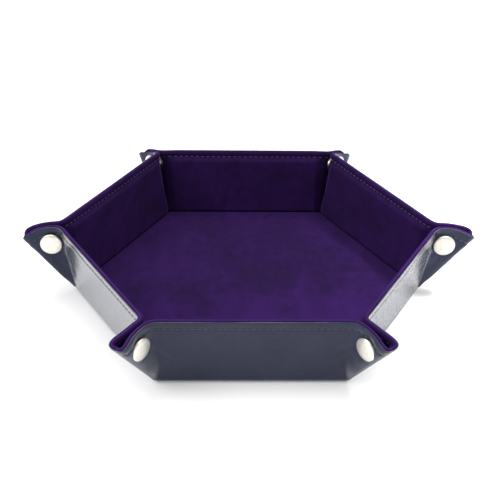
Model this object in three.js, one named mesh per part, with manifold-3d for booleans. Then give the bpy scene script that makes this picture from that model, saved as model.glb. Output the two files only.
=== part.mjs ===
// Folding hexagonal dice tray: a flat laminated hexagon (leather outside, stiff boards, velvet lining)
// whose six walls stand up and are held by a snap fastener through each pinched corner ear.
// Millimetres, +Z up. Origin: centre of the underside. The front wall faces -Y.
//
// Wall i stands on the side whose outward normal is at -90 + 60 (i - 1) degrees; corner i joins wall i to wall i + 1.
import * as THREE from "three";
import { mergeVertices } from "three/addons/utils/BufferGeometryUtils.js";
import Module from "manifold-3d";

// ---- driving dimensions ----
const SIDE = 100; // floor crease hexagon: side length and circumradius
const WALL_H = 43.5; // wall height, measured up the wall from its crease
const LEAN = 10; // degrees each wall leans outward when the corners are snapped
const FLAP_FOLD = 60; // degrees each half ear is turned out of its wall's plane when snapped, before the ear's own turn
const EAR_TURN = [8, 0, -8, 8, 0, -8]; // degrees each ear is turned towards wall i + 1: the front and back pairs lean away from walls 1 and 4
const LEATHER_T = 1.0;
const BOARD_T = 1.8;
const LINING_T = 1.2;
const LAYER_GAP = 0.2; // glue line between layers
const FLAP_T = 1.6; // leather and velvet of an ear, bonded and pressed, no board
const HINGE_Z = LEATHER_T / 2; // creases turn about the middle of the leather

const CREASE_GAP = 0.6; // leather panels stop this far from a crease
const BASE_BOARD_INSET = 2.6;
const BASE_LINING_INSET = 3.0;
const WALL_BOARD_FOOT = 3.9; // board starts this far above the crease
const WALL_BOARD_END = 4.0;
const WALL_BOARD_RIM = 5.5; // the seam allowance above the board
const WALL_LINING_FOOT = 4.2;
const WALL_LINING_END = 2.7;
const FLAP_FOOT = 4.0;
const FLAP_ANGLE = 27.6; // degrees from the wall's end line to the ear's fold; the last 2.4 degrees of the sheet go round the fold
const MIDDLE_GAP = 0.25; // from each half ear to the ear's middle plane, where they press together

const SNAP_P = [10.4, 6.5, 6.5, 6.5, 6.5, 10.4]; // snap centre, out from the corner's centre line, in the ear's middle plane
const SNAP_Q = 34; // snap centre, up the corner's centre line
const CAP_R = 6.25;
const CAP_H = 2.0;
const CAP_UNDER = 4.15; // cap underside, from the ear's middle plane
const POST_R = 1.6;
const FLAP_HOLE_R = 2.5;
const STUD_R = 2.3;
const STUD_BASE_R = 4.5;
const SOCKET_R = 4.8;
const SOCKET_BORE_R = 3.0;
const ROUND = 20; // segments round a turned part

// ---- helpers ----
const rad = THREE.MathUtils.degToRad;
const V = (x, y, z) => new THREE.Vector3(x, y, z);

const leather = new THREE.MeshStandardMaterial({ color: 0x3a4054, roughness: 0.35, metalness: 0 });
const velvet = new THREE.MeshStandardMaterial({ color: 0x3b1a70, roughness: 0.95, metalness: 0 });
const greyBoard = new THREE.MeshStandardMaterial({ color: 0x8f8a80, roughness: 0.9, metalness: 0 });
const nickel = new THREE.MeshStandardMaterial({ color: 0xd8d4c8, roughness: 0.25, metalness: 1 });

function polygon(points) {
  const s = new THREE.Shape();
  points.forEach(([x, y], k) => (k ? s.lineTo(x, y) : s.moveTo(x, y)));
  s.closePath();
  return s;
}

// A flat plate: its outline in the local XY plane, its thickness from z = low to z = high.
function plate(name, shape, low, high, material) {
  const g = new THREE.ExtrudeGeometry(shape, { depth: high - low, bevelEnabled: false, steps: 1, curveSegments: 12 });
  g.translate(0, 0, low);
  const mesh = new THREE.Mesh(g, material);
  mesh.name = name;
  return mesh;
}

// A turned part about local +Y.
function turned(name, profile, material) {
  const g = new THREE.LatheGeometry(profile.map(([r, y]) => new THREE.Vector2(r, y)), ROUND);
  const mesh = new THREE.Mesh(g, material);
  mesh.name = name;
  return mesh;
}

function hexagon(inset) {
  const r = SIDE - inset / Math.cos(rad(30));
  return polygon([0, 60, 120, 180, 240, 300].map((a) => [r * Math.cos(rad(a)), r * Math.sin(rad(a))]));
}

function frameOf(x, y, z, origin) {
  const group = new THREE.Group();
  group.matrix.makeBasis(x, y, z).setPosition(origin);
  group.matrix.decompose(group.position, group.quaternion, group.scale);
  return group;
}

// Boolean work on meshes in the tray's own frame.
const wasm = await Module();
wasm.setup();

function toSolid(geometry) {
  const g = geometry.index ? geometry.toNonIndexed() : geometry.clone();
  g.deleteAttribute("normal");
  g.deleteAttribute("uv");
  const merged = mergeVertices(g, 1e-4);
  return new wasm.Manifold(
    new wasm.Mesh({ numProp: 3, vertProperties: merged.attributes.position.array, triVerts: new Uint32Array(merged.index.array) }),
  );
}

function toGeometry(solid) {
  const m = solid.getMesh();
  return new THREE.BufferGeometry()
    .setAttribute("position", new THREE.BufferAttribute(new Float32Array(m.vertProperties), 3))
    .setIndex(new THREE.BufferAttribute(new Uint32Array(m.triVerts), 1));
}

const tray = new THREE.Group();

// ---- floor ----
const zBoard = LEATHER_T + LAYER_GAP;
const zLining = zBoard + BOARD_T + LAYER_GAP;
tray.add(plate("base_leather", hexagon(CREASE_GAP), 0, LEATHER_T, leather));
tray.add(plate("base_board", hexagon(BASE_BOARD_INSET), zBoard, zBoard + BOARD_T, greyBoard));
tray.add(plate("base_lining", hexagon(BASE_LINING_INSET), zLining, zLining + LINING_T, velvet));

// ---- walls ----
// Wall frame: x back along the crease, y up the wall, z inward through the layers, origin mid crease.
const up = V(0, 0, 1);
const apothem = SIDE * Math.cos(rad(30));
function wallAxes(i) {
  const a = rad(-90 + 60 * (i - 1));
  const n = V(Math.cos(a), Math.sin(a), 0);
  const e = V().crossVectors(up, n);
  const u = n.clone().multiplyScalar(Math.sin(rad(LEAN))).addScaledVector(up, Math.cos(rad(LEAN)));
  const m = n.clone().multiplyScalar(Math.cos(rad(LEAN))).addScaledVector(up, -Math.sin(rad(LEAN))); // outward face normal
  const foot = n.clone().multiplyScalar(apothem).addScaledVector(up, HINGE_Z);
  return { n, e, u, m, foot };
}

function rect(x, y0, y1) {
  return polygon([[-x, y0], [x, y0], [x, y1], [-x, y1]]);
}

const inBoard = LEATHER_T / 2 + LAYER_GAP;
const inLining = inBoard + BOARD_T + LAYER_GAP;
for (let i = 1; i <= 6; i++) {
  const { e, u, foot } = wallAxes(i);
  const x = e.clone().negate();
  const wall = frameOf(x, u, V().crossVectors(x, u), foot);
  wall.add(plate(`wall_${i}_leather`, rect(SIDE / 2 - CREASE_GAP, 0.7, WALL_H), -LEATHER_T / 2, LEATHER_T / 2, leather));
  wall.add(
    plate(`wall_${i}_board`, rect(SIDE / 2 - WALL_BOARD_END, WALL_BOARD_FOOT, WALL_H - WALL_BOARD_RIM), inBoard, inBoard + BOARD_T, greyBoard),
  );
  wall.add(
    plate(`wall_${i}_lining`, rect(SIDE / 2 - WALL_LINING_END, WALL_LINING_FOOT, WALL_H), inLining, inLining + LINING_T, velvet),
  );
  tray.add(wall);
}

// ---- corner ears ----
// Half ear in its own plane: p from the wall's end line, q up that line. It is close to a 30-60-90 triangle and ends at the ear's fold.
const foldLine = (q, back) => q * Math.tan(rad(FLAP_ANGLE)) - back / Math.cos(rad(FLAP_ANGLE));
function flapShape(holeP, holeQ) {
  const s = polygon([
    [CREASE_GAP, FLAP_FOOT],
    [foldLine(FLAP_FOOT, 0.5), FLAP_FOOT],
    [foldLine(WALL_H, 0.5), WALL_H],
    [CREASE_GAP, WALL_H],
  ]);
  const hole = new THREE.Path();
  hole.absarc(holeP, holeQ, FLAP_HOLE_R, 0, Math.PI * 2, true);
  s.holes.push(hole);
  return s;
}

for (let i = 1; i <= 6; i++) {
  const angle = rad(-60 + 60 * (i - 1));
  const out = V(Math.cos(angle), Math.sin(angle), 0);
  const corner = out.clone().multiplyScalar(SIDE).addScaledVector(up, HINGE_Z);

  // Wall i carries the stud, at its +e end. Wall i + 1 carries the socket, at its -e end.
  const a = wallAxes(i);
  const b = wallAxes(i + 1);
  const turn = rad(EAR_TURN[i - 1]);
  const alphaA = rad(FLAP_FOLD) - turn;
  const alphaB = rad(FLAP_FOLD) + turn;
  const fa = a.e.clone().multiplyScalar(Math.cos(alphaA)).addScaledVector(a.m, Math.sin(alphaA));
  const fb = b.e.clone().multiplyScalar(-Math.cos(alphaB)).addScaledVector(b.m, Math.sin(alphaB));

  // The ear's middle plane holds the corner's centre line g, and d points out along the ear, s across it towards wall i + 1.
  const g = a.u.clone().add(b.u).normalize();
  const s = V().crossVectors(up, out).applyAxisAngle(g, turn);
  const d = V().crossVectors(s, g);

  // The snap lies across the middle plane. Local +y runs from the stud to the socket.
  const on = corner.clone().addScaledVector(g, SNAP_Q).addScaledVector(d, SNAP_P[i - 1]);
  const snap = frameOf(V().crossVectors(s, g), s, g, on);
  const holeOn = (f, u) => {
    const normal = V().crossVectors(f, u);
    const from = on.clone().sub(corner);
    from.addScaledVector(s, -from.dot(normal) / s.dot(normal));
    return flapShape(from.dot(f), from.dot(u));
  };

  const flapA = frameOf(fa, a.u, V().crossVectors(fa, a.u), corner); // local z points out, to the leather
  flapA.add(plate(`corner_${i}_stud_flap`, holeOn(fa, a.u), LEATHER_T / 2 - FLAP_T, LEATHER_T / 2, leather));
  const flapB = frameOf(fb, b.u, V().crossVectors(fb, b.u), corner); // local z points in, to the velvet
  flapB.add(plate(`corner_${i}_socket_flap`, holeOn(fb, b.u), -LEATHER_T / 2, FLAP_T - LEATHER_T / 2, leather));
  // Low down the two halves press together, so each one stops just short of the ear's middle plane.
  for (const [flap, side] of [[flapA, 1], [flapB, -1]]) {
    flap.updateMatrix();
    const mesh = flap.children[0];
    const solid = toSolid(mesh.geometry.clone().applyMatrix4(flap.matrix));
    const beyond = new THREE.BoxGeometry(120, 20, 120);
    beyond.translate(0, side * (10 - MIDDLE_GAP), 0);
    beyond.applyMatrix4(new THREE.Matrix4().makeBasis(d, s, g).setPosition(corner));
    mesh.geometry = toGeometry(solid.subtract(toSolid(beyond)));
    tray.add(mesh);
  }

  const cap = (side) => [
    [0, side * 1.1],
    [POST_R, side * 1.1],
    [POST_R, side * CAP_UNDER],
    [CAP_R - 0.5, side * CAP_UNDER],
    [CAP_R, side * (CAP_UNDER + 0.35)],
    [CAP_R - 0.15, side * (CAP_UNDER + 0.85)],
    [CAP_R - 1.1, side * (CAP_UNDER + 1.5)],
    [CAP_R - 3.2, side * (CAP_UNDER + CAP_H - 0.15)],
    [0, side * (CAP_UNDER + CAP_H)],
  ];
  snap.add(turned(`corner_${i}_stud_cap`, cap(-1).reverse(), nickel));
  snap.add(turned(`corner_${i}_socket_cap`, cap(1), nickel));
  snap.add(
    turned(
      `corner_${i}_stud`,
      [
        [0, -0.9],
        [1.9, -0.9],
        [1.9, -1.35],
        [STUD_BASE_R, -1.35],
        [STUD_BASE_R, -0.75],
        [STUD_R - 0.3, -0.75],
        [STUD_R - 0.3, -0.35],
        [STUD_R, 0],
        [STUD_R, 0.35],
        [STUD_R - 0.6, 0.75],
        [0, 0.75],
      ],
      nickel,
    ),
  );
  snap.add(
    turned(
      `corner_${i}_socket`,
      [
        [SOCKET_BORE_R, -0.45],
        [SOCKET_R - 0.25, -0.45],
        [SOCKET_R, -0.2],
        [SOCKET_R, 1.3],
        [1.9, 1.3],
        [1.9, 1.0],
        [SOCKET_BORE_R, 1.0],
        [SOCKET_BORE_R, -0.45],
      ],
      nickel,
    ),
  );
  tray.add(snap);
}

export default tray;
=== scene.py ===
import math
import random

import bpy
import numpy as np
from mathutils import Matrix, Vector, noise


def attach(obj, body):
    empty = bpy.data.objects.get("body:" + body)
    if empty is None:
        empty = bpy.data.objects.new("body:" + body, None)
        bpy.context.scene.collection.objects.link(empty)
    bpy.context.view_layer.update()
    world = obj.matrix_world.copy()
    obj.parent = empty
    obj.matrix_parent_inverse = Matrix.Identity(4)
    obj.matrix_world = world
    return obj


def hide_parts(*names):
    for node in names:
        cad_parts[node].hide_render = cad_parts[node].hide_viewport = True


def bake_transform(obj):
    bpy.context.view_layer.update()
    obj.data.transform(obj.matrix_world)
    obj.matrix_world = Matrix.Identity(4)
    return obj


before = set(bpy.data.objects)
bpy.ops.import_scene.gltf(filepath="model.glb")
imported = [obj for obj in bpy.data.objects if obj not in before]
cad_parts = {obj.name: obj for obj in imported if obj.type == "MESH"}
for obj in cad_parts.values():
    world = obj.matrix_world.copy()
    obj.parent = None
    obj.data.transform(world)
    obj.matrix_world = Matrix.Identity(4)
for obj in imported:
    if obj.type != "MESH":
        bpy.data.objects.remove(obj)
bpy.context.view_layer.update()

# ---------------------------------------------------------------- the tray's own axes, in millimetres
SIDE = 100.0
AP = SIDE * math.sqrt(3) / 2
LEAN = math.radians(10)
HZ = 0.5  # height of the floor creases
RIM = 43.5  # wall height along the wall
EAR_TURN = [8, 0, -8, 8, 0, -8]
FOLD_DEG = 76.0
SNAP_P, SNAP_Q = [10.4, 6.5, 6.5, 6.5, 6.5, 10.4], 34.0
STITCH_AT = {"outer": 4.6, "inner": 3.6}  # stitch line below the rim, on the leather and on the deeper velvet
STITCH_PITCH = 3.4
SEAM = 43.0  # a wall's own skin runs this far each side of its middle, and the ear's skin takes over
MM = 0.001
Z = np.array([0.0, 0.0, 1.0])


def smooth(x, a, b):
    t = min(1.0, max(0.0, (x - a) / (b - a)))
    return t * t * (3 - 2 * t)


def unit(v):
    return v / np.linalg.norm(v)


class Wall:
    def __init__(self, i):
        a = math.radians(-90 + 60 * (i - 1))
        self.n = np.array([math.cos(a), math.sin(a), 0.0])
        self.e = np.cross(Z, self.n)
        self.u = self.n * math.sin(LEAN) + Z * math.cos(LEAN)
        self.m = self.n * math.cos(LEAN) - Z * math.sin(LEAN)
        self.foot = self.n * AP + Z * HZ

    def at(self, t, q, o):
        return self.foot + self.e * t + self.u * q + self.m * o

    def flat(self, t, q):
        p = self.n * (AP + q) + self.e * t
        return (p[0] * MM, p[1] * MM)


WALLS = {i: Wall(i) for i in range(1, 7)}
for i in (0, 7):
    WALLS[i] = WALLS[6 if i == 0 else 1]


class Corner:
    """Corner i joins wall i's +e end to wall i + 1's -e end. s crosses the ear's middle plane, towards wall i + 1."""

    def __init__(self, i):
        self.i = i
        a = math.radians(-60 + 60 * (i - 1))
        out = np.array([math.cos(a), math.sin(a), 0.0])
        self.at = out * SIDE + Z * HZ
        ua, ub = WALLS[i].u, WALLS[i + 1].u
        self.g = unit(ua + ub)
        s0 = np.cross(Z, out)
        turn = math.radians(EAR_TURN[i - 1])
        self.s = np.array(Matrix.Rotation(turn, 3, Vector(self.g)) @ Vector(s0))
        self.d = np.cross(self.s, self.g)
        self.snap = self.at + self.g * SNAP_Q + self.d * SNAP_P[i - 1]
        # the ear's fold line, in its middle plane, about 30 degrees from both wall ends
        lo, hi = 0.3, 0.8
        for _ in range(60):
            mid = (lo + hi) / 2
            v = self.g * math.cos(mid) + self.d * math.sin(mid)
            got = math.acos(v @ ua) + math.acos(v @ ub)
            lo, hi = (mid, hi) if got < math.radians(60) else (lo, mid)
        self.v = self.g * math.cos(lo) + self.d * math.sin(lo)


CORNERS = {i: Corner(i) for i in range(1, 7)}


# ---------------------------------------------------------------- small wrinkles and waves of the skins, over the flat pattern
RIM_P = [-60, -6, 0, 2.5, 6, 10, 14, 18, 21, 23, 24.6]
RIM_FRONT = [43.5, 43.5, 43.75, 44.35, 44.8, 44.85, 44.5, 43.7, 42.7, 41.8, 40.9]
RIM_RIGHT = [43.5, 43.5, 43.75, 44.3, 44.7, 44.6, 44.0, 42.9, 41.7, 40.7, 39.8]
RIM_LEFT = [43.5, 43.5, 43.7, 44.2, 44.4, 44.1, 43.1, 41.5, 39.9, 38.8, 37.8]
RIM_BACK = [43.5, 43.5, 43.2, 42.6, 41.8, 41.0, 40.2, 39.3, 38.5, 37.8, 37.2]
RIMS = {1: RIM_FRONT, 2: RIM_RIGHT, 3: RIM_BACK, 4: RIM_BACK, 5: RIM_LEFT, 6: RIM_FRONT}


def ear_rim(p, corner=None):
    """Rim height over distance p past the wall's end. No two ears are cut or pulled up quite alike."""
    if p < -7 or corner is None:
        return RIM
    return float(np.mean([np.interp(p + x, RIM_P, RIMS[corner]) for x in (-1.2, 0, 1.2)])) if p < 23.4 else float(np.interp(p, RIM_P, RIMS[corner]))


def wave(t, q, seed, size, amount):
    return amount * noise.noise(Vector((t / size, q / size, seed * 7.31)))


def leather_wrinkle(x, q, seed, snap_at=9.0):
    """Extra height of the leather near an ear. x is the distance past the wall's end, negative on the wall."""
    rng = random.Random(seed)
    dx, dq = x - snap_at, q - 33.5
    r = math.hypot(dx, dq)
    a = math.degrees(math.atan2(dq, dx))
    h = 0.0
    for base, width, amp, r0, r1 in (
        (-158, 7.0, 0.20, 7.0, 24.0),
        (-141, 6.0, 0.26, 6.5, 30.0),
        (-124, 6.0, 0.20, 6.5, 25.0),
        (-106, 7.0, 0.14, 6.5, 18.0),
    ):
        base += rng.uniform(-5, 5)
        amp *= rng.uniform(0.7, 1.15)
        k = (a - base + 180) % 360 - 180
        fall = smooth(r, r0 - 2, r0 + 2) * (1 - smooth(r, r1 * 0.55, r1))
        k += 3.0 * noise.noise(Vector((r / 7.0, seed * 3.1, base)))
        h += amp * fall * (math.exp(-((k / width) ** 2)) - 0.55 * math.exp(-(((k - 1.7 * width) / width) ** 2)))
    # short creases across the root of the ear, over the cap
    near = math.exp(-(((x + 0.5) / 5.0) ** 2)) * smooth(q, 33, 38) * (1 - smooth(q, 42.0, 43.6))
    h += 0.09 * near * math.sin(1.9 * x + 0.5 * q + seed)
    # pressed in round the cap
    h -= 0.2 * math.exp(-(((r - 7.4) / 1.2) ** 2))
    return h * smooth(q, 2.0, 8.0)


# ---------------------------------------------------------------- mesh building
class Sheet:
    """A closed thin skin: an outer face, an inner face, and the edges between them."""

    def __init__(self):
        self.o, self.i, self.uv, self.wo, self.wi, self.rim, self.key, self.quads = [], [], [], [], [], [], {}, []

    def v(self, key, po, pi, uv, wo=0.0, wi=None, rim=False):
        if key in self.key:
            return self.key[key]
        self.key[key] = len(self.o)
        self.o.append(po)
        self.i.append(pi)
        self.uv.append(uv)
        self.wo.append(wo)
        self.wi.append(wo if wi is None else wi)
        self.rim.append(rim)
        return self.key[key]

    def face(self, *ids):
        ids = [k for n, k in enumerate(ids) if k != ids[n - 1]]
        if len(ids) >= 3:
            self.quads.append(tuple(ids))

    def build(self, name, materials, soft_rim=False, edge_slot=1, rim_slot=None):
        n = len(self.o)
        co = np.array(self.o + self.i, float)
        vol = 0.0
        c = co[:n].mean(0)
        for f in self.quads:
            a, b, d = co[f[0]], co[f[1]], co[f[2]]
            mid = [np.array(self.o[k]) - np.array(self.i[k]) for k in f]
            vol += np.cross(b - a, d - a) @ sum(mid)
        if vol < 0:
            self.quads = [tuple(reversed(f)) for f in self.quads]
        count = {}
        for f in self.quads:
            for k in range(len(f)):
                e = (f[k], f[(k + 1) % len(f)])
                count[frozenset(e)] = count.get(frozenset(e), []) + [e]
        faces, slots, seams = [], [], set()
        for f in self.quads:
            faces.append(f)
            slots.append(0)
        for f in self.quads:
            faces.append(tuple(k + n for k in reversed(f)))
            slots.append(0)
        for key, es in count.items():
            if len(es) != 1:
                continue
            a, b = es[0]
            faces.append((b, a, a + n, b + n))
            rim = self.rim[a] and self.rim[b]
            slots.append((rim_slot if rim_slot is not None else edge_slot) if rim else edge_slot)
            if not (rim and soft_rim):
                seams.add(frozenset((a, b)))
                seams.add(frozenset((a + n, b + n)))
            if self.rim[a] != self.rim[b]:
                pass
        mesh = bpy.data.meshes.new(name)
        mesh.from_pydata([tuple(p * MM) for p in co], [], faces)
        for m in materials:
            mesh.materials.append(m)
        mesh.polygons.foreach_set("material_index", np.array(slots, np.int32))
        mesh.polygons.foreach_set("use_smooth", np.ones(len(faces), bool))
        uv = mesh.uv_layers.new(name="flat_pattern")
        idx = np.zeros(len(mesh.loops), np.int32)
        mesh.loops.foreach_get("vertex_index", idx)
        table = np.array(self.uv + self.uv, float)
        uv.data.foreach_set("uv", table[idx].astype(np.float32).ravel())
        sharp = mesh.attributes.new("sharp_edge", "BOOLEAN", "EDGE")
        flags = np.zeros(len(mesh.edges), bool)
        for k, e in enumerate(mesh.edges):
            if frozenset((e.vertices[0], e.vertices[1])) in seams:
                flags[k] = True
        sharp.data.foreach_set("value", flags)
        mesh.validate()
        obj = bpy.data.objects.new(name, mesh)
        bpy.context.scene.collection.objects.link(obj)
        return obj

    def weights(self):
        return self.wo + self.wi


def blend_by(obj, start, end):
    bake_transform(obj)


def new_object(name, verts, faces, material, smooth_shade=True, uvs=None):
    mesh = bpy.data.meshes.new(name)
    mesh.from_pydata([tuple(np.array(p) * MM) for p in verts], [], faces)
    mesh.materials.append(material)
    mesh.polygons.foreach_set("use_smooth", np.full(len(faces), smooth_shade))
    obj = bpy.data.objects.new(name, mesh)
    bpy.context.scene.collection.objects.link(obj)
    return obj


# ---------------------------------------------------------------- materials
def material(name):
    m = bpy.data.materials.new(name)
    m.use_nodes = True
    nt = m.node_tree
    nt.nodes.clear()
    out = nt.nodes.new("ShaderNodeOutputMaterial")
    bsdf = nt.nodes.new("ShaderNodeBsdfPrincipled")
    nt.links.new(bsdf.outputs[0], out.inputs[0])
    return m, nt, bsdf


class N:
    """Short hands for wiring nodes."""

    def __init__(self, nt):
        self.nt = nt

    def node(self, kind, **props):
        n = self.nt.nodes.new(kind)
        for k, v in props.items():
            setattr(n, k, v)
        return n

    def put(self, sock, v):
        if hasattr(v, "is_output") or isinstance(v, bpy.types.NodeSocket):
            self.nt.links.new(v, sock)
        else:
            sock.default_value = v

    def mm(self, source="UV", scale=(1, 1, 1)):
        """Coordinates in millimetres: over the flat pattern, or in the object's own frame."""
        if source == "UV":
            c = self.node("ShaderNodeUVMap", uv_map="flat_pattern").outputs[0]
        else:
            c = self.node("ShaderNodeTexCoord").outputs["Object"]
        n = self.node("ShaderNodeVectorMath", operation="MULTIPLY")
        self.put(n.inputs[0], c)
        n.inputs[1].default_value = [1000 * s for s in scale]
        return n.outputs[0]

    def noise(self, vec, scale, detail=2.0, rough=0.5, distort=0.0):
        n = self.node("ShaderNodeTexNoise")
        self.put(n.inputs["Vector"], vec)
        n.inputs["Scale"].default_value = scale
        n.inputs["Detail"].default_value = detail
        n.inputs["Roughness"].default_value = rough
        n.inputs["Distortion"].default_value = distort
        return n.outputs[0]

    def voronoi(self, vec, scale, feature="F1", out="Distance", smoothness=None):
        n = self.node("ShaderNodeTexVoronoi", feature=feature)
        self.put(n.inputs["Vector"], vec)
        n.inputs["Scale"].default_value = scale
        return n.outputs[out]

    def ramp(self, fac, stops):
        n = self.node("ShaderNodeValToRGB")
        self.put(n.inputs[0], fac)
        el = n.color_ramp.elements
        while len(el) < len(stops):
            el.new(0.5)
        for e, (p, c) in zip(el, stops):
            e.position = p
            e.color = tuple(c) + (1,) if len(c) == 3 else c
        return n.outputs[0]

    def math(self, op, a, b=0.0, clamp=False):
        n = self.node("ShaderNodeMath", operation=op, use_clamp=clamp)
        self.put(n.inputs[0], a)
        self.put(n.inputs[1], b)
        return n.outputs[0]

    def rng(self, v, a, b, c, d):
        n = self.node("ShaderNodeMapRange")
        self.put(n.inputs[0], v)
        for k, x in zip((1, 2, 3, 4), (a, b, c, d)):
            n.inputs[k].default_value = x
        return n.outputs[0]

    def mix(self, fac, a, b, kind="MIX"):
        n = self.node("ShaderNodeMix", data_type="RGBA", blend_type=kind)
        self.put(n.inputs[0], fac)
        self.put(n.inputs[6], a)
        self.put(n.inputs[7], b)
        return n.outputs[2]

    def bump(self, height, distance_mm, strength=1.0, normal=None):
        n = self.node("ShaderNodeBump")
        self.put(n.inputs["Height"], height)
        n.inputs["Distance"].default_value = distance_mm * MM
        n.inputs["Strength"].default_value = strength
        if normal is not None:
            self.put(n.inputs["Normal"], normal)
        return n.outputs[0]


def leather_material(name, edge=False):
    m, nt, b = material(name)
    k = N(nt)
    uv = k.mm("UV")
    if edge:  # the cut edge: pale backing cloth under a dark skin
        ob = k.mm("Object")
        g = k.noise(ob, 1.6, 3.0, 0.6)
        col = k.ramp(g, [(0.25, (0.14, 0.15, 0.19)), (0.75, (0.34, 0.35, 0.41))])
        k.put(b.inputs["Base Color"], col)
        k.put(b.inputs["Roughness"], k.rng(g, 0, 1, 0.55, 0.8))
        k.put(b.inputs["Normal"], k.bump(g, 0.12, 0.7))
        return m
    big = k.noise(uv, 0.045, 3.0, 0.55)
    mid = k.noise(uv, 0.35, 3.0, 0.55)
    col = k.ramp(big, [(0.3, LEATHER_DARK), (0.7, LEATHER_LIGHT)])
    col = k.mix(k.rng(mid, 0.35, 0.75, 0.0, 0.35), col, (*[c * 1.35 for c in LEATHER_LIGHT], 1))
    k.put(b.inputs["Base Color"], col)
    cell = k.voronoi(uv, 1.55, "SMOOTH_F1")
    pore = k.voronoi(uv, 0.9, "DISTANCE_TO_EDGE")
    fine = k.noise(uv, 5.0, 2.0, 0.6)
    soft = k.noise(uv, 0.16, 3.0, 0.5, 0.4)
    n1 = k.bump(soft, 0.35, 0.35)
    n2 = k.bump(k.math("SUBTRACT", 1.0, cell), 0.05, 0.5, n1)
    n3 = k.bump(k.rng(pore, 0.0, 0.12, 0.0, 1.0), 0.03, 0.45, n2)
    n4 = k.bump(fine, 0.015, 0.5, n3)
    k.put(b.inputs["Normal"], n4)
    k.put(b.inputs["Roughness"], k.rng(mid, 0.2, 0.8, LEATHER_ROUGH - 0.05, LEATHER_ROUGH + 0.09))
    b.inputs["IOR"].default_value = 1.5
    b.inputs["Specular IOR Level"].default_value = LEATHER_SPEC
    b.inputs["Specular Tint"].default_value = (0.70, 0.73, 1.0, 1)
    # the plastic top coat stays dark seen square on and turns to a white sheen along the surface
    lw = k.node("ShaderNodeLayerWeight")
    lw.inputs[0].default_value = 0.5
    glance = k.node("ShaderNodeMapRange", interpolation_type="SMOOTHSTEP")
    k.put(glance.inputs[0], lw.outputs["Facing"])
    for a, v in zip((1, 2, 3, 4), (0.40, 0.80, 0.0, LEATHER_COAT)):
        glance.inputs[a].default_value = v
    # painted shade: the coat is cut back where the skin faces down, standing in for the tray's shadow on the table
    # that it would mirror there
    geo = k.node("ShaderNodeSeparateXYZ")
    k.put(geo.inputs[0], k.node("ShaderNodeNewGeometry").outputs["Normal"])
    under = k.node("ShaderNodeMapRange", interpolation_type="SMOOTHSTEP")
    k.put(under.inputs[0], geo.outputs[2])
    for a, v in zip((1, 2, 3, 4), (-0.62, -0.24, 0.12, 1.0)):
        under.inputs[a].default_value = v
    k.put(b.inputs["Coat Weight"], k.math("MULTIPLY", glance.outputs[0], under.outputs[0]))
    b.inputs["Coat Roughness"].default_value = 0.2
    b.inputs["Coat IOR"].default_value = 4.0
    b.inputs["Coat Tint"].default_value = (0.93, 0.94, 1.0, 1)
    k.put(b.inputs["Coat Normal"], n2)
    return m


def velvet_material(name, dark=1.0, edge=False, front_painted_light=True):
    """Short pile: deep at the roots, lit along the nap, with soft brushed patches and fine fibres; the floor copy also
    gets painted light, lighter towards the front.
    """
    m, nt, b = material(name)
    k = N(nt)
    uv = k.mm("Object" if edge else "UV")
    streak = k.mm("UV", (1.0, 0.45, 1.0))
    patch = k.noise(streak, 0.05, 4.0, 0.6, 0.8)
    blotch = k.noise(uv, 0.17, 3.0, 0.6, 0.5)
    fibre = k.noise(uv, 3.2, 2.0, 0.7)
    dust = k.noise(uv, 0.9, 3.0, 0.75)
    lo = [c * dark * 0.62 for c in VELVET]
    hi = [c * dark * 1.42 for c in VELVET]
    broad = k.noise(k.mm("UV", (1.0, 1.3, 1.0)), 0.014, 2.0, 0.5, 0.3)
    tone = k.math("ADD", k.math("MULTIPLY", patch, 0.4), k.math("MULTIPLY", blotch, 0.3))
    tone = k.math("ADD", tone, k.math("MULTIPLY", broad, 0.3))
    col = k.ramp(tone, [(0.42, lo), (0.58, hi)])
    col = k.mix(k.rng(fibre, 0.35, 0.7, 0.0, 0.55), col, (*[c * dark * 1.75 for c in VELVET], 1))
    col = k.mix(k.rng(dust, 0.62, 0.8, 0.0, 0.3), col, (*[c * dark * 2.2 for c in VELVET], 1))
    if edge:
        # painted highlight: the cut edge's colour is mixed half way to a brighter purple for the light it catches
        col = k.mix(0.5, col, (0.066, 0.021, 0.175, 1))
    if front_painted_light:  # painted light: the floor's colour is lightened towards the front, its border broken up by the patch noise
        sep = k.node("ShaderNodeSeparateXYZ")
        k.put(sep.inputs[0], k.mm("UV"))
        front = k.math("ADD", k.math("MULTIPLY", sep.outputs[1], -1.0), k.math("MULTIPLY", k.math("SUBTRACT", patch, 0.5), 60.0))
        col = k.mix(k.rng(front, 6.0, 74.0, 0.0, 0.85), col, (*[c * 2.6 for c in VELVET], 1))
    k.put(b.inputs["Base Color"], col)
    k.put(b.inputs["Roughness"], k.rng(fibre, 0.2, 0.8, 0.8, 0.95))
    b.inputs["Specular IOR Level"].default_value = 0.12
    b.inputs["Sheen Weight"].default_value = VELVET_SHEEN * dark
    b.inputs["Sheen Roughness"].default_value = 0.38
    b.inputs["Sheen Tint"].default_value = (0.50, 0.26, 0.92, 1)
    n1 = k.bump(tone, 0.5, 0.3)
    n2 = k.bump(dust, 0.12, 0.4, n1)
    n3 = k.bump(fibre, 0.11, 0.75, n2)
    k.put(b.inputs["Normal"], n3)
    return m


def metal_material(name, base, rough):
    m, nt, b = material(name)
    k = N(nt)
    ob = k.mm("Object")
    n = k.noise(ob, 0.5, 4.0, 0.6)
    scratch = k.noise(k.mm("Object", (6, 0.8, 6)), 0.6, 3.0, 0.6)
    k.put(b.inputs["Base Color"], k.ramp(n, [(0.3, [c * 0.93 for c in base]), (0.7, base)]))
    b.inputs["Metallic"].default_value = 1.0
    k.put(b.inputs["Roughness"], k.rng(scratch, 0.3, 0.7, rough - 0.05, rough + 0.08))
    k.put(b.inputs["Normal"], k.bump(n, 0.03, 0.35, k.bump(scratch, 0.006, 0.4)))
    return m


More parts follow.
